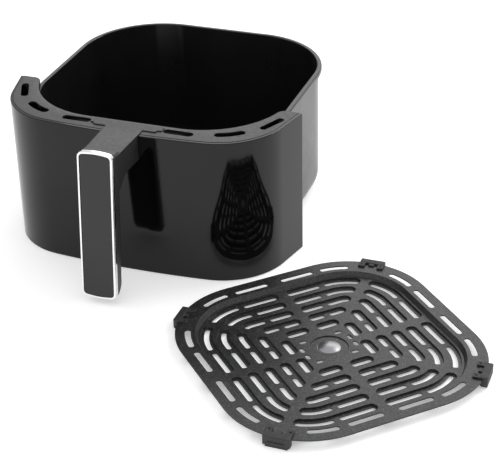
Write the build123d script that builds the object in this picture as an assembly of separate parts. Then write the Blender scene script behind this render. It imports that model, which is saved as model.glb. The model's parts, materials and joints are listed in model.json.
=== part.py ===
"""Air fryer drawer with its crisper plate lying beside it.

Millimetres. Origin: centre of the pan, on the surface it stands on. +X runs right along the
drawer's front, -Y points out of the front towards the handle, +Z is up.
"""

import os
from math import asin, atan2, cos, degrees, hypot, pi, radians, sin, sqrt

from build123d import *

# ---- pan: square deep-drawn basket with an outward rolled rim
PAN_HALF = 110.7  # inside half width
PAN_CORNER = 70.0  # inside corner radius in plan
PAN_WALL = 1.2
PAN_HEIGHT = 122.7
PAN_BASE_RADIUS = 18.0  # outside radius between the base and the walls
RIM_REACH = 4.4  # how far the rim stands out from the inside face
RIM_LIP = 4.2  # height of the rolled edge
RIM_ROUND = 2.0  # rounding of the rolled edge
RIM_EDGE = 0.8  # rounding of the edge towards the inside
PAN_OUT = PAN_HALF + PAN_WALL

# ---- front shell: glossy wrap-around wall; its plan is a bowed front, corner arcs, flared sides
SHELL_WALL = 2.6
FRONT_Y = 132.0  # distance of the middle of the front from the pan's centre
FRONT_BOW = 770.0  # radius of the slight bow of the front
SHELL_CORNER = 59.4
SHELL_CORNER_X = 65.4  # sideways place of each corner arc's centre
FLARE = radians(13.4)  # how much the straight side runs open towards the rear
SHELL_END_Y = 52.6  # shell and rim cover stop at this distance in front of the centre
SHELL_TOP = 129.3
SHELL_EDGE = 0.8  # rounding of the shell's upper outer edge
NOTCH_HALF = 14.0  # half width of the notch that lets the handle strap through
FRONT_SWEEP = asin(SHELL_CORNER_X / (FRONT_BOW - SHELL_CORNER))
SHELL_CORNER_Y = FRONT_BOW - FRONT_Y - (FRONT_BOW - SHELL_CORNER) * cos(FRONT_SWEEP)

# ---- rim cover: slotted plastic ring let in between the shell's wall and the pan's rim
COVER_SHEET = 2.5
COVER_TOP = 129.6
COVER_LOW = COVER_TOP - COVER_SHEET
COVER_INSET = SHELL_WALL + 0.25  # its outer edge, in from the shell's outer face
COVER_SLOPE = (4.2, 0.8)  # width and fall of the sloped band along its inner edge
COVER_MOUTH = (2.0, 4.5)  # its inner edge is the pan's outline, grown and moved to the rear
COVER_LIP = 4.6  # width of the band that rests on the pan's rim
COVER_END_ROUND = 6.0
CLEAR = 0.1  # gap between pieces that only rest near each other
HAIR = 0.01  # keeps two cutting faces from coinciding
VENT_LENGTH = 26.0
VENT_WIDTH = 7.3
VENT_FRONT = (45.5, -117.3)  # centre of the straight vent beside the handle
VENT_CORNER = (43.3, -60.5)  # radius and angle of the curved vent about the shell's corner
VENT_SIDE = (113.0, -79.0, 65.0)  # centre and turn of the straight vent near the end
VENT_SIDE_WIDTH = 6.5
VENT_EDGE = 0.8  # thickness of the sheet at a vent's edge

# ---- handle: T-shaped root, arm, and a grip that leans outward and tapers downward
ROOT_REAR = 112.7
ROOT_STEPS = ((31.8, 119.7), (28.0, 122.7))  # half width and front of the root's two steps
ROOT_ROUND = 1.2
SEAM = 0.3  # visible parting gap round the handle root
ARM_HALF = 16.4  # half width of the arm where it leaves the root
ARM_TOP = 130.4
ARM_UNDER = 108.5
ARM_BEND = 152.0  # where the underside starts to curve down
ARM_GUSSET = 100.0  # where the concave gusset meets the back of the grip
GRIP_HALF = 15.25
GRIP_TOP = 134.3
GRIP_LOW = 8.4
GRIP_FRONT_TOP = 180.6  # distance of the grip's front face from the centre at its top
GRIP_FRONT_LOW = 192.5  # and at its lower end
GRIP_BACK_TOP = 163.6
GRIP_BACK_LOW = 176.8
GRIP_CROWN = 1.4  # how far the two ends of the grip's outline bulge
GRIP_ROUND = 5.0
GRIP_BACK_ROUND = 5.0  # radius of the grip's two long rear edges
BEZEL_DEPTH = 4.4
BEZEL_WALL = 1.65
GROOVE = (0.9, 1.7, 0.5)  # start, end and depth of the groove round the bezel's side
PANEL_SINK = 0.4
PANEL_THICK = 2.2
STRAP_THICK = 2.5
STRAP_HALF = 11.0
STRAP_Z = 113.0  # underside of the strap's level leg
STRAP_DEPTH = 5.5  # how far the strap's grip leg lies behind the front face
STRAP_FOOT = 22.0
GRIP_SCREW_Z = (92.0, 36.0)

# ---- screws
M4 = 2.0
M5 = 2.5
M35 = 1.75
HEAD = 3.4
HEAD_HIGH = 2.2

# ---- inner frame and brackets, hidden between the shell and the pan
FRAME_GAP = 0.3
FRAME_WALL = 2.0
FRAME_LOW = 3.0
FRAME_FLOOR = 2.5
FRAME_TOP = 112.5
FRAME_END = (58.5, 56.0)  # front and rear faces of the two end walls
COVER_SCREWS = ((66.0, -120.5), (118.5, -62.2))
BOSS = 4.0
BRACKET_HALF = 32.0
BRACKET_LOW = 60.0
SIDE_BRACKET_Z = (45.0, 85.0)
SIDE_SCREW = (116.5, 65.0)  # x and z of the screw in each end wall
STRAP_SCREW = (7.0, 120.0)  # sideways place and distance from the centre

# ---- crisper plate: pressed sheet with rows of slotted troughs, standing on four bumpers
PLATE_AT = (198.8, -196.9)
PLATE_TURN = 44.7  # degrees
PLATE_HALF = 108.1
PLATE_CORNER = 68.5
PLATE_SHEET = 1.0
PLATE_RAISE = 8.0  # top of the flange above the surface
PLATE_DROP = 3.8  # depth of the field below the flange
PLATE_SHOULDER = 93.0
SHOULDER_TAPER = 30.0
RING_HALF = 97.9  # centre line of the slots in the flange
RING_SLOTS = ((6.3, 35.4), (42.7, 67.2))  # ends, measured from the side's middle
FIRST_ROW = 83.2
ROW_PITCH = 13.7
ROWS = 5
ROW_MIN_CORNER = 6.5
TROUGH_WIDTH = 9.4
TROUGH_DEPTH = 1.6
TROUGH_WALL = 0.9
SLOT_WIDTH = 4.8  # of the slots in the flange
ROW_SLOT = 4.1  # and of those in the troughs
CHANNEL = 3.6  # from a side's middle, or a diagonal, to the end of a trough
SLOT_MARGIN = 1.5
SLOT_BRIDGE = 4.6
SMALL_SLOT = (6.2, 3.6)
SMALL_SLOTS = ((15.4, 14.5, 0), (21.0, 4.9, 90))  # x, y and turn, repeated in each quarter
BOSS_RADIUS = 15.4
BOSS_SINK = 0.8
DOME_RADIUS = 8.8
DOME_STEP = 0.7  # height of the dome's upright edge
DOME_HIGH = 2.4

# ---- silicone bumper at each plate corner
BUMPER_HALF = 10.5
BUMPER_OUT = 3.0
BUMPER_IN = 3.2
BUMPER_TOP = 1.7
BUMPER_LOW = 6.0
FOOT_HALF = 8.5
TAB_AT = 8.0
TAB_HALF = 2.6
TAB_REACH = 9.0
PEG_HOLE = 0.8


def slab(region, low, high):
    """The region's prism between two heights."""
    return extrude(Pos(0, 0, low) * region, amount=high - low, dir=(0, 0, 1))


def block(x, y, z):
    """A box given by its limits along each axis."""
    size = [b - a for a, b in (x, y, z)]
    centre = [(a + b) / 2 for a, b in (x, y, z)]
    return Pos(*centre) * Box(*size)


def both_sides(shape):
    """The shape and its mirror image across the middle of the drawer."""
    return shape + mirror(shape, about=Plane.YZ)


def rounded_square(half, corner):
    return RectangleRounded(2 * half, 2 * half, corner)


def pan_plan(grow=0.0):
    """The pan's inside outline, moved out by grow."""
    return rounded_square(PAN_HALF + grow, PAN_CORNER + grow)


def strip(x, y):
    """A rectangle given by its limits."""
    return Pos((x[0] + x[1]) / 2, (y[0] + y[1]) / 2) * Rectangle(x[1] - x[0], y[1] - y[0])


def shell_plan(inset=0.0):
    """The region inside the shell's outer face, moved in by inset, ahead of the shell's ends."""
    bow = FRONT_BOW - inset
    corner = SHELL_CORNER - inset
    joint = (bow * sin(FRONT_SWEEP), FRONT_BOW - FRONT_Y - bow * cos(FRONT_SWEEP))
    half_way = (pi / 2 - FRONT_SWEEP + FLARE) / 2
    middle = (SHELL_CORNER_X + corner * cos(half_way), SHELL_CORNER_Y - corner * sin(half_way))
    flare = (SHELL_CORNER_X + corner * cos(FLARE), SHELL_CORNER_Y - corner * sin(FLARE))
    run = -SHELL_END_Y - flare[1]
    end = (flare[0] + run * sin(FLARE) / cos(FLARE), -SHELL_END_Y)

    def left(point):
        return (-point[0], point[1])

    edges = [
        ThreePointArc(left(joint), (0, inset - FRONT_Y), joint),
        ThreePointArc(joint, middle, flare),
        Line(flare, end),
        Line(end, left(end)),
        Line(left(end), left(flare)),
        ThreePointArc(left(flare), left(middle), left(joint)),
    ]
    return Face(Wire(edges))


def grip_front(z):
    """Y of the grip's front face at a height."""
    down = (GRIP_TOP - z) / (GRIP_TOP - GRIP_LOW)
    return -(GRIP_FRONT_TOP + (GRIP_FRONT_LOW - GRIP_FRONT_TOP) * down)


def grip_back(z):
    """Y of the grip's back face at a height."""
    down = (GRIP_TOP - z) / (GRIP_TOP - GRIP_LOW)
    return -(GRIP_BACK_TOP + (GRIP_BACK_LOW - GRIP_BACK_TOP) * down)


GRIP_LENGTH = hypot(GRIP_TOP - GRIP_LOW, GRIP_FRONT_LOW - GRIP_FRONT_TOP)
GRIP_LEAN = atan2(GRIP_FRONT_LOW - GRIP_FRONT_TOP, GRIP_TOP - GRIP_LOW)
GRIP_MIDDLE = (GRIP_TOP + GRIP_LOW) / 2
GRIP_FACE = Plane(
    origin=(0, grip_front(GRIP_MIDDLE), GRIP_MIDDLE),
    x_dir=(1, 0, 0),
    z_dir=(0, -cos(GRIP_LEAN), sin(GRIP_LEAN)),
)


def grip_slab(region, near, far):
    """A prism of a region drawn on the grip's front face, between two depths behind it."""
    return GRIP_FACE * extrude(Pos(0, 0, -far) * region, amount=far - near, dir=(0, 0, 1))


def on_grip(z):
    """Distance of a height from the middle of the grip's face, along the face."""
    return (z - GRIP_MIDDLE) / cos(GRIP_LEAN)


def pan():
    outside = slab(pan_plan(PAN_WALL), 0, PAN_HEIGHT)
    outside = fillet(outside.faces().sort_by(Axis.Z)[0].edges(), PAN_BASE_RADIUS)
    inside = slab(pan_plan(), PAN_WALL, PAN_HEIGHT + 10)
    inside = fillet(inside.faces().sort_by(Axis.Z)[0].edges(), PAN_BASE_RADIUS - PAN_WALL)
    rim = slab(pan_plan(RIM_REACH), PAN_HEIGHT - RIM_LIP, PAN_HEIGHT)
    rim = fillet(rim.faces().sort_by(Axis.Z)[-1].edges(), RIM_ROUND)
    under = slab(pan_plan(RIM_REACH - PAN_WALL), PAN_HEIGHT - RIM_LIP, PAN_HEIGHT - PAN_WALL)
    body = outside + (rim - under) - inside
    mouth = body.faces().sort_by(Axis.Z)[-1].inner_wires()[0]
    return fillet(mouth.edges(), RIM_EDGE)


def front_shell():
    wall = slab(shell_plan(), 0, SHELL_TOP)
    low_edges = wall.faces().sort_by(Axis.Z)[0].edges()
    wall = fillet(low_edges.filter_by(lambda e: not straight_end(e)), 1.0)
    top_edges = wall.faces().sort_by(Axis.Z)[-1].edges()
    wall = fillet(top_edges.filter_by(lambda e: not straight_end(e)), SHELL_EDGE)
    wall -= slab(shell_plan(SHELL_WALL), 0, SHELL_TOP)
    deep = (-FRONT_Y - 5, -FRONT_Y + 17)
    wall -= block((-NOTCH_HALF, NOTCH_HALF), deep, (ARM_UNDER + 2.5, SHELL_TOP + 1))
    arm = ARM_HALF + SEAM
    return wall - block((-arm, arm), deep, (COVER_LOW, SHELL_TOP + 1))


def straight_end(edge):
    """True for the closing line between the shell's two ends."""
    return abs(edge.center().Y + SHELL_END_Y) < 0.01


def vents(grow=0.0):
    """Plan of the vents on the right half of the rim cover, widened by grow."""
    length = VENT_LENGTH + 2 * grow
    x, y, turn = VENT_SIDE
    shape = Pos(*VENT_FRONT) * SlotOverall(length, VENT_WIDTH + 2 * grow)
    shape += Pos(x, y) * Rot(0, 0, turn) * SlotOverall(length, VENT_SIDE_WIDTH + 2 * grow)
    radius, angle = VENT_CORNER
    swing = degrees((VENT_LENGTH - VENT_WIDTH) / radius)
    path = CenterArc((SHELL_CORNER_X, SHELL_CORNER_Y), radius, angle - swing / 2, swing)
    return shape + SlotArc(path, VENT_WIDTH + 2 * grow)


def cover_mouth(grow=0.0):
    """The rim cover's inner outline, moved out by grow."""
    more, back = COVER_MOUTH
    return Pos(0, back) * pan_plan(more + grow)


def root_plan(grow=0.0):
    """Plan of the handle's stepped root, moved out by grow at its front and sides."""
    plan = Sketch()
    for half, front in ROOT_STEPS:
        plan += strip((-half - grow, half + grow), (-front - grow, -ROOT_REAR))
    return fillet(plan.vertices(), ROOT_ROUND)


def arm_plan(grow=0.0):
    """Plan of the arm, narrowing from the root to the grip."""
    wide = ARM_HALF + grow
    slim = GRIP_HALF + grow
    corners = [(-wide, -118), (wide, -118), (slim, -GRIP_BACK_TOP), (slim, -185)]
    corners += [(-slim, -185), (-slim, -GRIP_BACK_TOP)]
    return Face(Wire(Polyline(*corners, close=True).edges()))


def rim_cover():
    ring = shell_plan(COVER_INSET) - cover_mouth()
    inner_corners = ring.vertices().filter_by(
        lambda v: abs(v.Y + SHELL_END_Y) < 0.01 and abs(v.X) < PAN_OUT
    )
    ring = fillet(inner_corners, COVER_END_ROUND)
    band = ring & cover_mouth(COVER_LIP) & pan_plan(RIM_REACH)
    width, fall = COVER_SLOPE
    slope = loft([
        Pos(0, 0, COVER_TOP - fall) * cover_mouth(),
        Pos(0, 0, COVER_TOP) * cover_mouth(width),
    ])
    cover = slab(ring, COVER_LOW, COVER_TOP) - slope
    cover += slab(band, PAN_HEIGHT + CLEAR, COVER_LOW)
    cover -= slab(root_plan(SEAM) + arm_plan(SEAM), COVER_LOW, COVER_TOP + 1)
    side = ROOT_STEPS[0][0] + 4
    pad = strip((-side, side), (-ROOT_STEPS[1][1] - 4, -ROOT_REAR + 0.7))
    cover += slab(pad, COVER_LOW - COVER_SHEET, COVER_LOW)
    cover -= slab(both_sides(vents()), COVER_LOW - 6, COVER_TOP + 1)
    cover -= slab(both_sides(vents(1.2)), COVER_LOW - 1, COVER_TOP - VENT_EDGE)
    for x, y in COVER_SCREWS:
        post = Pos(x, y, (FRAME_TOP + FRAME_FLOOR + COVER_LOW) / 2) * Cylinder(
            BOSS, COVER_LOW - FRAME_TOP - FRAME_FLOOR
        )
        hole = Pos(x, y, COVER_LOW - 6) * Cylinder(M4, 13)
        cover += both_sides(post)
        cover -= both_sides(hole)
    return cover


def handle_profile():
    """Side view of the arm, in the plane x = 0."""
    root = -ROOT_STEPS[1][1] + 3
    start = -FRONT_Y - CLEAR - 0.2
    low = COVER_LOW + CLEAR
    tip = (0, grip_back(ARM_GUSSET), ARM_GUSSET)
    bend = (0, -ARM_BEND, ARM_UNDER)
    inside = grip_front(ARM_GUSSET) + BEZEL_DEPTH + 3
    lines = [
        Line((0, root, ARM_TOP), (0, root, low)),
        Line((0, root, low), (0, start, low)),
        Line((0, start, low), (0, start, ARM_UNDER)),
        Line((0, start, ARM_UNDER), bend),
        TangentArc(bend, tip, tangent=(0, -1, 0)),
        Line(tip, (0, inside, ARM_GUSSET)),
        Line((0, inside, ARM_GUSSET), (0, inside, ARM_TOP)),
        Line((0, inside, ARM_TOP), (0, root, ARM_TOP)),
    ]
    return Face(Wire(lines))


def grip_back_block():
    """The grip behind its bezel, before hollowing."""
    seat = BEZEL_DEPTH / cos(GRIP_LEAN)
    top = GRIP_TOP + GRIP_CROWN + 1
    low = GRIP_LOW - GRIP_CROWN - 1
    seat_top = (0, grip_front(top) + seat, top)
    seat_low = (0, grip_front(low) + seat, low)
    brow = (0, grip_front(GRIP_TOP) + seat + 1, top)
    nape = (0, grip_back(ARM_TOP), ARM_TOP)
    heel = (0, grip_back(GRIP_LOW + 10), GRIP_LOW + 10)
    down = (0, GRIP_BACK_TOP - GRIP_BACK_LOW, GRIP_LOW - GRIP_TOP)
    lines = [
        Line(seat_low, seat_top),
        Line(seat_top, brow),
        Line(brow, nape),
        Line(nape, heel),
        TangentArc(heel, seat_low, tangent=down),
    ]
    side = Face(Wire(lines))
    solid = extrude(Pos(-GRIP_HALF, 0, 0) * side, amount=2 * GRIP_HALF, dir=(1, 0, 0))
    solid = fillet(solid.edges().filter_by(back_edge), GRIP_BACK_ROUND)
    return solid & grip_slab(grip_frame(-HAIR), -5, 40)


def back_edge(edge):
    """True for the two long rear edges of the grip."""
    middle = edge.center()
    on_side = abs(abs(middle.X) - GRIP_HALF) < 0.1
    return on_side and edge.length > 60 and abs(middle.Y - grip_back(middle.Z)) < 0.5


def handle_body():
    body = slab(root_plan(), COVER_LOW + CLEAR, ARM_TOP)
    arm = extrude(Pos(-ARM_HALF, 0, 0) * handle_profile(), amount=2 * ARM_HALF, dir=(1, 0, 0))
    body += (arm & slab(arm_plan(), 0, ARM_TOP + 1)) + grip_back_block()
    tunnel = block(
        (-STRAP_HALF - 2, STRAP_HALF + 2), (-171, -FRONT_Y), (ARM_UNDER + 2.5, COVER_LOW + CLEAR)
    )
    reach = (on_grip(STRAP_FOOT - 4), on_grip(COVER_LOW))
    pocket = strip((-STRAP_HALF - 1.5, STRAP_HALF + 1.5), reach)
    hollow = grip_slab(pocket, 0, 30) & inner_grip()
    body -= tunnel + hollow
    behind = STRAP_DEPTH + STRAP_THICK
    for z in GRIP_SCREW_Z:
        spot = Pos(0, on_grip(z))
        body += grip_slab(spot * Circle(BOSS), behind, 30) & grip_back_block()
        body -= grip_slab(spot * Circle(M35), 0, behind + 4)
    return body


def inner_grip():
    """The room inside the grip, short of its back wall."""
    wall = 2.6
    corners = [
        (0, grip_front(GRIP_TOP) + 1, GRIP_TOP),
        (0, grip_front(GRIP_LOW) + 1, GRIP_LOW),
        (0, grip_back(GRIP_LOW) - wall, GRIP_LOW),
        (0, grip_back(GRIP_TOP) - wall, GRIP_TOP),
    ]
    side = Face(Wire(Polyline(*corners, close=True).edges()))
    return extrude(Pos(-GRIP_HALF, 0, 0) * side, amount=2 * GRIP_HALF, dir=(1, 0, 0))


def grip_frame(inset):
    """The grip's front outline with its two bulged ends, moved in by inset."""
    half = GRIP_HALF - inset
    high = GRIP_LENGTH / 2 - inset
    edges = [
        Line((-half, -high), (-half, high)),
        ThreePointArc((-half, high), (0, high + GRIP_CROWN), (half, high)),
        Line((half, high), (half, -high)),
        ThreePointArc((half, -high), (0, -high - GRIP_CROWN), (-half, -high)),
    ]
    outline = Face(Wire(edges))
    return fillet(outline.vertices(), GRIP_ROUND - inset)


def grip_bezel():
    frame = grip_slab(grip_frame(0), 0, BEZEL_DEPTH)
    front = frame.faces().sort_by(Axis((0, 0, 0), tuple(GRIP_FACE.z_dir)))[-1]
    frame = fillet(front.edges(), 0.6)
    start, end, deep = GROOVE
    groove = grip_slab(grip_frame(-1) - grip_frame(deep), start, end)
    ledge = PANEL_SINK + PANEL_THICK
    under = ledge + 1.0
    room = grip_slab(grip_frame(BEZEL_WALL), -1, ledge)
    room += grip_slab(grip_frame(BEZEL_WALL + 1.1), 0, under)
    room += grip_slab(grip_frame(BEZEL_WALL), under, BEZEL_DEPTH + 1)
    return frame - room - groove


def grip_panel():
    panel = grip_slab(grip_frame(BEZEL_WALL + CLEAR), PANEL_SINK, PANEL_SINK + PANEL_THICK)
    front = panel.faces().sort_by(Axis((0, 0, 0), tuple(GRIP_FACE.z_dir)))[-1]
    return fillet(front.edges(), 0.5)


def handle_strap():
    reach = (on_grip(STRAP_FOOT), on_grip(STRAP_Z + STRAP_THICK))
    leg = grip_slab(strip((-STRAP_HALF, STRAP_HALF), reach), STRAP_DEPTH, STRAP_DEPTH + STRAP_THICK)
    nose = grip_front(STRAP_Z) + STRAP_DEPTH + 1
    level = block((-STRAP_HALF, STRAP_HALF), (nose, -PAN_OUT - 2.5), (STRAP_Z, STRAP_Z + STRAP_THICK))
    strap = leg + level
    x, y = STRAP_SCREW
    strap -= both_sides(Pos(x, -y, STRAP_Z) * Cylinder(M5 + 0.2, 12))
    for z in GRIP_SCREW_Z:
        strap -= grip_slab(Pos(0, on_grip(z)) * Circle(M35 + 0.2), 0, 12)
    return strap


def grip_screws():
    screws = []
    for z in GRIP_SCREW_Z:
        spot = Pos(0, on_grip(z))
        head = grip_slab(spot * Circle(HEAD), STRAP_DEPTH - HEAD_HIGH, STRAP_DEPTH)
        shank = grip_slab(spot * Circle(M35), STRAP_DEPTH, STRAP_DEPTH + STRAP_THICK + 3.5)
        socket = grip_slab(spot * Circle(1.3), STRAP_DEPTH - HEAD_HIGH, STRAP_DEPTH - 1)
        screws.append(head + shank - socket)
    return Compound(screws_solids(screws))


def screws_solids(parts):
    """The solids of several parts, as one list."""
    return [solid for part in parts for solid in part.solids()]


def front_bracket():
    face = -PAN_OUT
    plate = block((-BRACKET_HALF, BRACKET_HALF), (face - 2, face), (BRACKET_LOW, STRAP_Z))
    shelf = block((-BRACKET_HALF + 4, BRACKET_HALF - 4), (-126.2, face), (STRAP_Z - 2, STRAP_Z))
    corners = [(0, face - 2, STRAP_Z - 2), (0, face - 2, STRAP_Z - 22), (0, -125.5, STRAP_Z - 2)]
    gusset = Face(Wire(Polyline(*corners, close=True).edges()))
    web = extrude(Pos(24, 0, 0) * gusset, amount=2, dir=(1, 0, 0))
    bracket = plate + shelf + both_sides(web)
    x, y = STRAP_SCREW
    return bracket - both_sides(Pos(x, -y, STRAP_Z) * Cylinder(M5 + 0.2, 12))


def strap_screws():
    x, y = STRAP_SCREW
    top = STRAP_Z + STRAP_THICK
    head = Pos(x, -y, top + 1.5) * Cylinder(4.4, 3)
    shank = Pos(x, -y, top - 5) * Cylinder(M5, 10)
    socket = Pos(x, -y, top + 2.4) * extrude(RegularPolygon(1.6, 6), amount=1.2)
    return Compound(both_sides(head + shank - socket).solids())


def strap_nuts():
    x, y = STRAP_SCREW
    nut = extrude(RegularPolygon(4.6, 6), amount=4) - Pos(0, 0, 2) * Cylinder(M5, 6)
    return Compound(both_sides(Pos(x, -y, STRAP_Z - 6) * nut).solids())


def inner_frame():
    gap = SHELL_WALL + FRAME_GAP
    room = shell_plan(gap)
    web = slab(room - shell_plan(gap + FRAME_WALL), FRAME_LOW, FRAME_TOP)
    floor = slab(room - pan_plan(PAN_WALL + 1.0), FRAME_LOW, FRAME_LOW + FRAME_FLOOR)
    ends = (room & strip((-200, 200), (-FRAME_END[0], -FRAME_END[1]))) - pan_plan(PAN_WALL + 1.8)
    frame = web + floor + slab(ends, FRAME_LOW, FRAME_TOP)
    caps = (room & strip((-200, 200), (-FRAME_END[0] + 0.5, -FRAME_END[1]))) - pan_plan(RIM_REACH + 0.4)
    frame += slab(caps, FRAME_TOP - 1, COVER_LOW - CLEAR)
    front_tab = strip((61, 71), (-130, -116.6)) & room
    side_tab = strip((113.6, 125), (-66, -FRAME_END[1])) & room
    frame += both_sides(slab(front_tab + side_tab, FRAME_TOP, FRAME_TOP + FRAME_FLOOR))
    for x, y in COVER_SCREWS:
        frame -= both_sides(Pos(x, y, FRAME_TOP) * Cylinder(M4 + 0.2, 12))
    x, z = SIDE_SCREW
    hole = Pos(x, -(FRAME_END[0] + FRAME_END[1]) / 2, z) * Rot(90, 0, 0) * Cylinder(M4 + 0.2, 6)
    frame -= both_sides(hole)
    return frame - block((-NOTCH_HALF, NOTCH_HALF), (-140, -115), (ARM_UNDER, FRAME_TOP + 5))


def cover_screws():
    screws = []
    for x, y in COVER_SCREWS:
        head = Pos(x, y, FRAME_TOP - HEAD_HIGH / 2) * Cylinder(HEAD, HEAD_HIGH)
        shank = Pos(x, y, FRAME_TOP + 5) * Cylinder(M4, 10)
        socket = Pos(x, y, FRAME_TOP - HEAD_HIGH) * Cylinder(1.3, 2)
        screws.append(both_sides(head + shank - socket))
    return Compound(screws_solids(screws))


def side_bracket():
    """Right-hand angle between the pan's corner wall and the frame's end wall."""
    skin = pan_plan(PAN_WALL + 1.5) & strip((60, 130), (-86, -FRAME_END[0]))
    tab = strip((100, 121), (-FRAME_END[0] - 2, -FRAME_END[0]))
    bracket = slab((skin + tab) - pan_plan(PAN_WALL), *SIDE_BRACKET_Z)
    x, z = SIDE_SCREW
    return bracket - Pos(x, -FRAME_END[0] - 1, z) * Rot(90, 0, 0) * Cylinder(M4, 6)


def side_screws():
    x, z = SIDE_SCREW
    turn = Rot(90, 0, 0)
    head = Pos(x, -FRAME_END[1] + HEAD_HIGH / 2, z) * turn * Cylinder(HEAD, HEAD_HIGH)
    shank = Pos(x, -FRAME_END[1] - 4, z) * turn * Cylinder(M4, 8)
    socket = Pos(x, -FRAME_END[1] + HEAD_HIGH, z) * turn * Cylinder(1.3, 2)
    return Compound(both_sides(head + shank - socket).solids())


def row_corner(half):
    """Corner radius of the plate's outline at another half width."""
    return max(PLATE_CORNER - PLATE_HALF + half, ROW_MIN_CORNER)


def stroke(half, start, end, width):
    """A round-ended band along a rounded square, from the middle of its +Y side towards +X.

    start and end are distances along the band's centre line to its two tips.
    """
    corner = row_corner(half)
    straight = half - corner
    first = start + width / 2
    last = end - width / 2
    band = None
    if first < straight:
        stop = min(last, straight)
        length = max(stop - first, 0.01)
        band = Pos((first + stop) / 2, half) * SlotCenterToCenter(length, width)
    if last > straight + 0.2:
        begin = max(first, straight)
        high = 90 - degrees((begin - straight) / corner)
        sweep = degrees((last - begin) / corner)
        arc = SlotArc(CenterArc((straight, straight), corner, high - sweep, sweep), width)
        band = arc if band is None else band + arc
    return band


def all_round(octant):
    """Eight copies of a plate detail: both halves of each of the four sides."""
    side = octant + mirror(octant, about=Plane.YZ)
    return Sketch() + [Rot(0, 0, 90 * turn) * side for turn in range(4)]


def row_length(half):
    """Centre-line length from a side's middle to the diagonal."""
    return half - row_corner(half) + row_corner(half) * pi / 4


def plate_rows():
    """Half width and trough ends of each row of the plate's field."""
    rows = []
    for index in range(ROWS):
        half = FIRST_ROW - ROW_PITCH * index
        rows.append((half, CHANNEL, row_length(half) - CHANNEL))
    return rows


def small_slots():
    """The eight short slots round the plate's centre."""
    quarter = Sketch()
    for x, y, turn in SMALL_SLOTS:
        quarter += Pos(x, y) * Rot(0, 0, turn) * SlotOverall(*SMALL_SLOT)
    half = quarter + mirror(quarter, about=Plane.YZ)
    return half + mirror(half, about=Plane.XZ)


def row_slots(half, start, end):
    """The slots inside one trough: two in a long one, one in a short one."""
    low = start + SLOT_MARGIN
    high = end - SLOT_MARGIN
    if high - low < 5 * ROW_SLOT:
        high = max(high, low + ROW_SLOT + 0.4)
        return stroke(half, low, high, ROW_SLOT)
    middle = (low + high) / 2
    near = stroke(half, low, middle - SLOT_BRIDGE / 2, ROW_SLOT)
    return near + stroke(half, middle + SLOT_BRIDGE / 2, high, ROW_SLOT)


def plate_blank():
    """The pressed sheet without troughs or slots; z = 0 is the flange's top."""
    corner = row_corner(PLATE_SHOULDER)
    flange = slab(rounded_square(PLATE_HALF, PLATE_CORNER), -PLATE_SHEET, 0)
    deep = PLATE_DROP + PLATE_SHEET
    outer = extrude(rounded_square(PLATE_SHOULDER, corner), amount=-deep, taper=SHOULDER_TAPER)
    mouth = rounded_square(PLATE_SHOULDER - PLATE_SHEET, corner - PLATE_SHEET)
    return flange + outer - extrude(mouth, amount=-PLATE_DROP, taper=SHOULDER_TAPER)


def crisper_plate():
    plate = plate_blank()
    floor = -PLATE_DROP
    troughs = Sketch()
    backs = Sketch()
    slots = Sketch()
    for half, start, end in plate_rows():
        grow = TROUGH_WALL
        width = TROUGH_WIDTH
        troughs += stroke(half, start, end, width)
        backs += stroke(half, start - grow, end + grow, width + 2 * grow)
        slots += row_slots(half, start, end)
    for start, end in RING_SLOTS:
        slots += stroke(RING_HALF, start, end, SLOT_WIDTH)
    low = floor - TROUGH_DEPTH
    plate += slab(all_round(backs), low - PLATE_SHEET, floor - PLATE_SHEET / 2)
    plate += slab(Circle(BOSS_RADIUS + 1), floor - BOSS_SINK - PLATE_SHEET, floor - PLATE_SHEET / 2)
    plate -= slab(all_round(troughs), low, floor + 1)
    plate -= slab(Circle(BOSS_RADIUS), floor - BOSS_SINK, floor + 1)
    plate -= slab(all_round(slots) + small_slots(), -12, 2)
    rise = DOME_HIGH - DOME_STEP
    ball = (DOME_RADIUS**2 + rise**2) / (2 * rise)
    base = floor - BOSS_SINK
    dome = Pos(0, 0, base + DOME_HIGH - ball) * Sphere(ball)
    dome &= slab(Circle(DOME_RADIUS), base - 0.2, base + DOME_HIGH + 1)
    return plate + dome


def bumper():
    """One bumper: X runs along the plate's edge, Y outward from it, z = 0 is the flange's top."""
    wide = (-BUMPER_HALF, BUMPER_HALF)
    body = block(wide, (-BUMPER_IN, BUMPER_OUT), (-BUMPER_LOW, BUMPER_TOP))
    body = fillet(body.edges().filter_by(Axis.Z), 1.2)
    body = fillet(body.faces().sort_by(Axis.Z)[-1].edges(), 0.6)
    body -= block((-6, 6), (BUMPER_OUT - 0.5, BUMPER_OUT + 1), (-3.4, -2.2))
    foot = strip((-FOOT_HALF, FOOT_HALF), (-BUMPER_IN + 0.6, BUMPER_OUT - 0.6))
    body += slab(foot, -PLATE_RAISE, -BUMPER_LOW)
    body += slab(strip(wide, (-TAB_REACH + 1, -BUMPER_IN)), -PLATE_SHEET - 1.6, -PLATE_SHEET)
    for x in (-TAB_AT, TAB_AT):
        tab = block((x - TAB_HALF, x + TAB_HALF), (-TAB_REACH, -BUMPER_IN + 0.5), (0, BUMPER_TOP - 0.2))
        tab = fillet(tab.edges().filter_by(Axis.Z), 0.5)
        body += tab - Pos(x, -TAB_REACH + 2.6, 1) * Cylinder(PEG_HOLE, 4)
    body += block((-2.2, 2.2), (-BUMPER_IN - 3, -BUMPER_IN + 0.5), (0, BUMPER_TOP - 0.4))
    sheet = slab(rounded_square(PLATE_HALF, PLATE_CORNER), -PLATE_SHEET, 0)
    return body - Pos(0, -corner_reach(), 0) * Rot(0, 0, 45) * sheet


def corner_reach():
    """Distance from the plate's centre to its edge along a diagonal."""
    return (PLATE_HALF - PLATE_CORNER) * sqrt(2) + PLATE_CORNER


def place_plate(shape):
    """Moves a shape from the plate's own frame to where the plate lies."""
    return Pos(*PLATE_AT, PLATE_RAISE) * Rot(0, 0, PLATE_TURN) * shape


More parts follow.
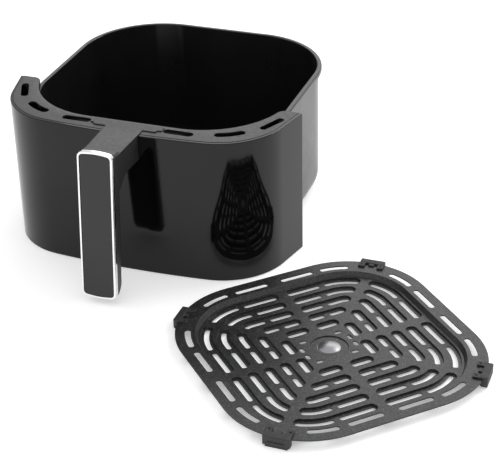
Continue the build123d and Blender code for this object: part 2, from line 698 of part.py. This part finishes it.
def main():
    os.makedirs("parts", exist_ok=True)
    bracket = side_bracket()
    nodes = {
        "pan": pan(),
        "front_shell": front_shell(),
        "rim_cover": rim_cover(),
        "inner_frame": inner_frame(),
        "front_bracket": front_bracket(),
        "side_bracket_right": bracket,
        "side_bracket_left": mirror(bracket, about=Plane.YZ),
        "handle_body": handle_body(),
        "handle_strap": handle_strap(),
        "grip_bezel": grip_bezel(),
        "grip_panel": grip_panel(),
        "strap_screws": strap_screws(),
        "strap_nuts": strap_nuts(),
        "grip_screws": grip_screws(),
        "cover_screws": cover_screws(),
        "side_screws": side_screws(),
        "crisper_plate": place_plate(crisper_plate()),
    }
    corner = bumper()
    for index, name in enumerate(("rear", "left", "front", "right")):
        turn = Rot(0, 0, 90 * index - 45)
        nodes[f"bumper_{name}"] = place_plate(turn * Pos(0, corner_reach(), 0) * corner)
    for name, shape in nodes.items():
        export_step(shape, f"parts/{name}.step")
        print(name, len(shape.solids()), "solid(s)", round(shape.volume / 1000, 2), "cm3")


main()
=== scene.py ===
import json
from math import radians

import bpy
from mathutils import Euler, Matrix, Vector


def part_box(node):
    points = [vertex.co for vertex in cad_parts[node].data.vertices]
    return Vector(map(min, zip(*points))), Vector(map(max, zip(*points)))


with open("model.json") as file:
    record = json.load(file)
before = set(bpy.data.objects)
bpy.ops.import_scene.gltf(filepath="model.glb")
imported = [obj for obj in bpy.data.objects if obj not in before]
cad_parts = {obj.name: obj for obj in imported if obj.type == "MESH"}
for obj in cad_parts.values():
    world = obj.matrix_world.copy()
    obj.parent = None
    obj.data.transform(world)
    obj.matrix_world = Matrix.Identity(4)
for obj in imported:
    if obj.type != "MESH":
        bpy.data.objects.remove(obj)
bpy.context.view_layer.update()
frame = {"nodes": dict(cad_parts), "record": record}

# ---- camera: in front of the drawer, to the right and above;
# angles in degrees, lens and sensor in millimetres
CAMERA_AT = (0.4760, -1.1145, 0.6697)
CAMERA_LENS = 107.15
SENSOR_WIDTH = 36.0
CLIP_NEAR = 0.05
CLIP_FAR = 30.0
AZIMUTH = 20.367
ELEVATION = 30.228
ROLL = -1.373

# ---- surroundings
WHITE = (1, 1, 1, 1)
WORLD_LIGHT = 0.98
FLOOR_HALF = 6.0
FLOOR_DROP = 0.0002  # keeps the floor clear of the faces that stand on it
FLOOR_GLOW = 0.32  # light that the floor gives off itself, so that it stays white

# each light's place, the point that it faces, its width and height, and its power
LIGHTS = {
    "key": ((1.1, 1.2, 1.5), (0.15, -0.1, 0.05), (1.2, 0.9), 18),
    "back": ((-0.2, 1.9, 1.25), (0.1, -0.1, 0.08), (1.8, 1.0), 7),
}

# ---- the bare metal dome in the middle of the crisper plate
DOME_RADIUS = 0.0092
DOME_EDGE = 0.0003  # width of the change from metal to coating
DOME_BELOW_FLANGE = 0.0036  # from the plate's highest point down to the dome's middle

# ---- surfaces
NOISE_LOW = 0.3  # most of a noise factor lies between these two
NOISE_HIGH = 0.7
COARSE_GRAIN = 0.00012  # height of the moulded plastic's grain
GRAIN = 0.0001  # height of a fine grain
MICRO_GRAIN = 0.00003  # height of the grain left on a gloss face
BRUSHED = (1, 12, 12)  # draws a noise out along X
FLECK_LOW = 0.56  # the plate's flecks show where a noise factor is above these
FLECK_HIGH = 0.66
BEVEL_SAMPLES = 4
WELD_DISTANCE = 2e-6
SHARP_ANGLE = 32  # an edge that bends by more degrees than this stays sharp

# a colour mix node's sockets share their labels, so they go by number
MIX_UNDER = 6
MIX_OVER = 7
MIX_RESULT = 2


def fill(node, **values):
    """Sets a node's inputs, whose labels are written here in plain words."""
    for key, value in values.items():
        label = key.replace("_", " ").title().replace("Ior", "IOR")
        node.inputs[label].default_value = value


def add_object(name, data):
    thing = bpy.data.objects.new(name, data)
    bpy.context.scene.collection.objects.link(thing)
    return thing


def add_camera():
    data = bpy.data.cameras.new("camera")
    data.sensor_width = SENSOR_WIDTH
    data.lens = CAMERA_LENS
    data.clip_start = CLIP_NEAR
    data.clip_end = CLIP_FAR
    camera = add_object("camera", data)
    turn = Euler((radians(90 - ELEVATION), 0, radians(AZIMUTH))).to_matrix()
    roll = Matrix.Rotation(radians(ROLL), 3, "Z")
    camera.matrix_world = Matrix.Translation(CAMERA_AT) @ (turn @ roll).to_4x4()
    bpy.context.scene.camera = camera


# ---- material helpers


class Nodes:
    """A material's node tree, with a few shortcuts."""

    def __init__(self, name):
        self.material = bpy.data.materials.new(name)
        self.material.use_nodes = True
        self.tree = self.material.node_tree
        self.shader = self.tree.nodes["Principled BSDF"]

    def add(self, kind, **settings):
        node = self.tree.nodes.new(kind)
        for key, value in settings.items():
            setattr(node, key, value)
        return node

    def link(self, source, target):
        self.tree.links.new(source, target)

    def place(self):
        """The point's place in object space."""
        return self.add("ShaderNodeTexCoord").outputs["Object"]

    def noise(self, scale, detail, stretch=None):
        """A noise factor in object space, optionally finer along some axes."""
        where = self.place()
        if stretch:
            mapping = self.add("ShaderNodeMapping")
            fill(mapping, scale=stretch)
            self.link(where, mapping.inputs["Vector"])
            where = mapping.outputs["Vector"]
        node = self.add("ShaderNodeTexNoise")
        fill(node, scale=scale, detail=detail)
        self.link(where, node.inputs["Vector"])
        return node.outputs["Fac"]

    def cells(self, scale):
        """Distance to the nearest of many random points."""
        node = self.add("ShaderNodeTexVoronoi")
        fill(node, scale=scale)
        self.link(self.place(), node.inputs["Vector"])
        return node.outputs["Distance"]

    def ramp(self, factor, low, high, low_value, high_value):
        """Maps a factor's range onto another, clamped."""
        node = self.add("ShaderNodeMapRange")
        fill(node, from_min=low, from_max=high, to_min=low_value, to_max=high_value)
        self.link(factor, node.inputs["Value"])
        return node.outputs["Result"]

    def near(self, spot, radius, edge):
        """One within a radius of a spot in object space, falling to zero over the edge's width."""
        apart = self.add("ShaderNodeVectorMath", operation="DISTANCE")
        self.link(self.place(), apart.inputs[0])
        apart.inputs[1].default_value = spot
        return self.ramp(apart.outputs["Value"], radius, radius + edge, 1, 0)

    def mix(self, factor, under, over):
        """Lays the colour over on under, which is a colour or another mix, by a factor."""
        node = self.add("ShaderNodeMix", data_type="RGBA")
        if isinstance(under, tuple):
            node.inputs[MIX_UNDER].default_value = (*under, 1)
        else:
            self.link(under, node.inputs[MIX_UNDER])
        node.inputs[MIX_OVER].default_value = (*over, 1)
        self.link(factor, node.inputs["Factor"])
        return node.outputs[MIX_RESULT]

    def tint(self, factor, dark, light, patch=None):
        """The colour between dark and light; patch is a mask and the colour that it shows."""
        colour = self.mix(factor, dark, light)
        if patch:
            mask, over = patch
            colour = self.mix(mask, colour, over)
        self.link(colour, self.shader.inputs["Base Color"])

    def rough(self, factor, low, high):
        """The roughness, which follows a noise factor from low to high."""
        level = self.ramp(factor, NOISE_LOW, NOISE_HIGH, low, high)
        self.link(level, self.shader.inputs["Roughness"])

    def bump(self, layers, edge):
        """Rounds sharp corners by edge, then adds layers, each (factor, strength, height)."""
        bevel = self.add("ShaderNodeBevel", samples=BEVEL_SAMPLES)
        fill(bevel, radius=edge)
        normal = bevel.outputs["Normal"]
        for factor, strength, height in layers:
            node = self.add("ShaderNodeBump")
            fill(node, strength=strength, distance=height)
            self.link(factor, node.inputs["Height"])
            self.link(normal, node.inputs["Normal"])
            normal = node.outputs["Normal"]
        self.link(normal, self.shader.inputs["Normal"])


# ---- materials


def nonstick_pan():
    m = Nodes("nonstick_pan")
    m.tint(m.noise(60, detail=4), dark=(0.0035, 0.0035, 0.0038), light=(0.0055, 0.0055, 0.0058))
    m.rough(m.noise(40, detail=4), low=0.27, high=0.34)
    m.bump([(m.noise(900, detail=2), 0.2, GRAIN)], edge=0.0006)
    return m.material


def gloss_shell():
    m = Nodes("gloss_shell")
    m.tint(m.noise(12, detail=2), dark=(0.0008, 0.0008, 0.0009), light=(0.0014, 0.0014, 0.0015))
    m.rough(m.noise(18, detail=6), low=0.045, high=0.085)
    waves = (m.noise(22, detail=1), 0.04, 0.0008)
    m.bump([waves, (m.noise(1400, detail=1), 0.03, MICRO_GRAIN)], edge=0.0004)
    fill(m.shader, ior=1.38)
    return m.material


def textured_plastic():
    m = Nodes("textured_plastic")
    m.tint(m.noise(500, detail=3), dark=(0.007, 0.007, 0.007), light=(0.014, 0.014, 0.014))
    m.rough(m.noise(300, detail=4), low=0.38, high=0.50)
    spots = (m.cells(1500), 0.5, COARSE_GRAIN)
    m.bump([spots, (m.noise(650, detail=2), 0.3, COARSE_GRAIN)], edge=0.0010)
    fill(m.shader, specular_ior_level=0.62)
    return m.material


def black_plastic():
    m = Nodes("black_plastic")
    m.tint(m.noise(80, detail=3), dark=(0.012, 0.012, 0.012), light=(0.020, 0.020, 0.020))
    m.rough(m.noise(90, detail=3), low=0.45, high=0.6)
    m.bump([(m.noise(700, detail=2), 0.2, GRAIN)], edge=0.0004)
    return m.material


def pressed_steel():
    m = Nodes("pressed_steel")
    brushed = m.noise(300, detail=3, stretch=BRUSHED)
    m.tint(brushed, dark=(0.42, 0.42, 0.43), light=(0.58, 0.58, 0.59))
    m.rough(brushed, low=0.28, high=0.42)
    m.bump([(brushed, 0.12, GRAIN)], edge=0.0003)
    fill(m.shader, metallic=1.0)
    return m.material


def zinc_steel():
    m = Nodes("zinc_steel")
    m.tint(m.noise(400, detail=3), dark=(0.50, 0.50, 0.49), light=(0.66, 0.66, 0.64))
    m.rough(m.noise(500, detail=3), low=0.24, high=0.4)
    m.bump([(m.noise(900, detail=2), 0.1, GRAIN)], edge=0.0002)
    fill(m.shader, metallic=1.0)
    return m.material


def chrome_trim():
    m = Nodes("chrome_trim")
    m.tint(m.noise(60, detail=2), dark=(0.80, 0.80, 0.81), light=(0.88, 0.88, 0.89))
    m.rough(m.noise(150, detail=4), low=0.05, high=0.12)
    m.bump([(m.noise(200, detail=1), 0.03, GRAIN)], edge=0.0003)
    fill(m.shader, metallic=1.0)
    return m.material


def gloss_panel():
    m = Nodes("gloss_panel")
    m.tint(m.noise(20, detail=2), dark=(0.003, 0.003, 0.0033), light=(0.005, 0.005, 0.0053))
    m.rough(m.noise(60, detail=5), low=0.10, high=0.17)
    waves = (m.noise(40, detail=1), 0.03, 0.0005)
    m.bump([waves, (m.noise(1500, detail=1), 0.03, MICRO_GRAIN)], edge=0.0003)
    return m.material


def nonstick_plate():
    """A speckled coating, with bare metal on the dome."""
    m = Nodes("nonstick_plate")
    low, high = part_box("crisper_plate")
    middle = (low + high) / 2
    dome = m.near((middle.x, middle.y, high.z - DOME_BELOW_FLANGE), DOME_RADIUS, DOME_EDGE)
    flecks = m.ramp(m.noise(1300, detail=1), FLECK_LOW, FLECK_HIGH, 0, 1)
    metal = (0.30, 0.30, 0.31)
    m.tint(flecks, dark=(0.006, 0.006, 0.007), light=(0.070, 0.070, 0.071), patch=(dome, metal))
    for label, on_coating, on_metal in (("Roughness", 0.38, 0.28), ("Metallic", 0, 0.9)):
        m.link(m.ramp(dome, 0, 1, on_coating, on_metal), m.shader.inputs[label])
    waves = (m.noise(70, detail=1), 0.06, 0.0006)
    m.bump([(m.noise(800, detail=2), 0.3, GRAIN), waves], edge=0.0004)
    return m.material


def silicone():
    m = Nodes("silicone")
    m.tint(m.noise(120, detail=5), dark=(0.010, 0.010, 0.010), light=(0.022, 0.022, 0.022))
    m.rough(m.noise(200, detail=4), low=0.5, high=0.68)
    m.bump([(m.noise(1100, detail=2), 0.2, GRAIN)], edge=0.0005)
    return m.material


def floor_white():
    m = Nodes("floor_white")
    m.tint(m.noise(2, detail=2), dark=(0.90, 0.90, 0.90), light=(0.92, 0.92, 0.92))
    fill(m.shader, roughness=0.9, specular_ior_level=0.1)
    fill(m.shader, emission_color=WHITE, emission_strength=FLOOR_GLOW)
    return m.material


# the material of each slot in the record
MATERIALS = {
    "nonstick_pan": nonstick_pan,
    "gloss_shell": gloss_shell,
    "textured_plastic": textured_plastic,
    "black_plastic": black_plastic,
    "chrome_trim": chrome_trim,
    "gloss_panel": gloss_panel,
    "zinc_steel": zinc_steel,
    "nonstick_plate": nonstick_plate,
    "silicone": silicone,
    "steel": pressed_steel,
}


def smooth_group():
    """Geometry nodes that weld the mesh and shade it smooth except at real edges."""
    group = bpy.data.node_groups.new("smooth_by_angle", "GeometryNodeTree")
    for direction in ("INPUT", "OUTPUT"):
        group.interface.new_socket("Geometry", in_out=direction, socket_type="NodeSocketGeometry")
    source = group.nodes.new("NodeGroupInput")
    weld = group.nodes.new("GeometryNodeMergeByDistance")
    fill(weld, distance=WELD_DISTANCE)
    faces = group.nodes.new("GeometryNodeSetShadeSmooth")
    edges = group.nodes.new("GeometryNodeSetShadeSmooth")
    edges.domain = "EDGE"
    fill(edges, shade_smooth=False)
    angle = group.nodes.new("GeometryNodeInputMeshEdgeAngle")
    sharp = group.nodes.new("FunctionNodeCompare")
    sharp.operation = "GREATER_THAN"
    bend, limit = sharp.inputs[:2]
    limit.default_value = radians(SHARP_ANGLE)
    target = group.nodes.new("NodeGroupOutput")
    links = group.links
    links.new(source.outputs["Geometry"], weld.inputs["Geometry"])
    links.new(weld.outputs["Geometry"], faces.inputs["Geometry"])
    links.new(faces.outputs["Geometry"], edges.inputs["Geometry"])
    links.new(angle.outputs["Unsigned Angle"], bend)
    links.new(sharp.outputs["Result"], edges.inputs["Selection"])
    links.new(edges.outputs["Geometry"], target.inputs["Geometry"])
    return group


def dress_nodes():
    """Gives every CAD node its material and smooth shading."""
    slots = {row["node"]: row["material_slot"] for row in frame["record"]["subparts"]}
    made = {slot: make() for slot, make in MATERIALS.items()}
    group = smooth_group()
    for name, node in frame["nodes"].items():
        node.data.materials.clear()
        node.data.materials.append(made[slots[name]])
        node.modifiers.new("smooth", "NODES").node_group = group


# ---- stage


def add_floor():
    mesh = bpy.data.meshes.new("floor")
    s = FLOOR_HALF
    mesh.from_pydata([(-s, -s, 0), (s, -s, 0), (s, s, 0), (-s, s, 0)], [], [(0, 1, 2, 3)])
    mesh.materials.append(floor_white())
    floor = add_object("floor", mesh)
    floor.location.z = -FLOOR_DROP


def add_world():
    world = bpy.data.worlds.new("studio")
    world.use_nodes = True
    fill(world.node_tree.nodes["Background"], color=WHITE, strength=WORLD_LIGHT)
    bpy.context.scene.world = world


def add_light(name, at, aim, size, power):
    data = bpy.data.lights.new(name, "AREA")
    data.shape = "RECTANGLE"
    data.size, data.size_y = size
    data.energy = power
    light = add_object(name, data)
    light.location = at
    light.rotation_euler = (Vector(aim) - Vector(at)).to_track_quat("-Z", "Y").to_euler()


def main():
    add_camera()
    dress_nodes()
    add_floor()
    add_world()
    for name, light in LIGHTS.items():
        add_light(name, *light)
    bpy.context.scene.view_settings.view_transform = "Standard"


main()
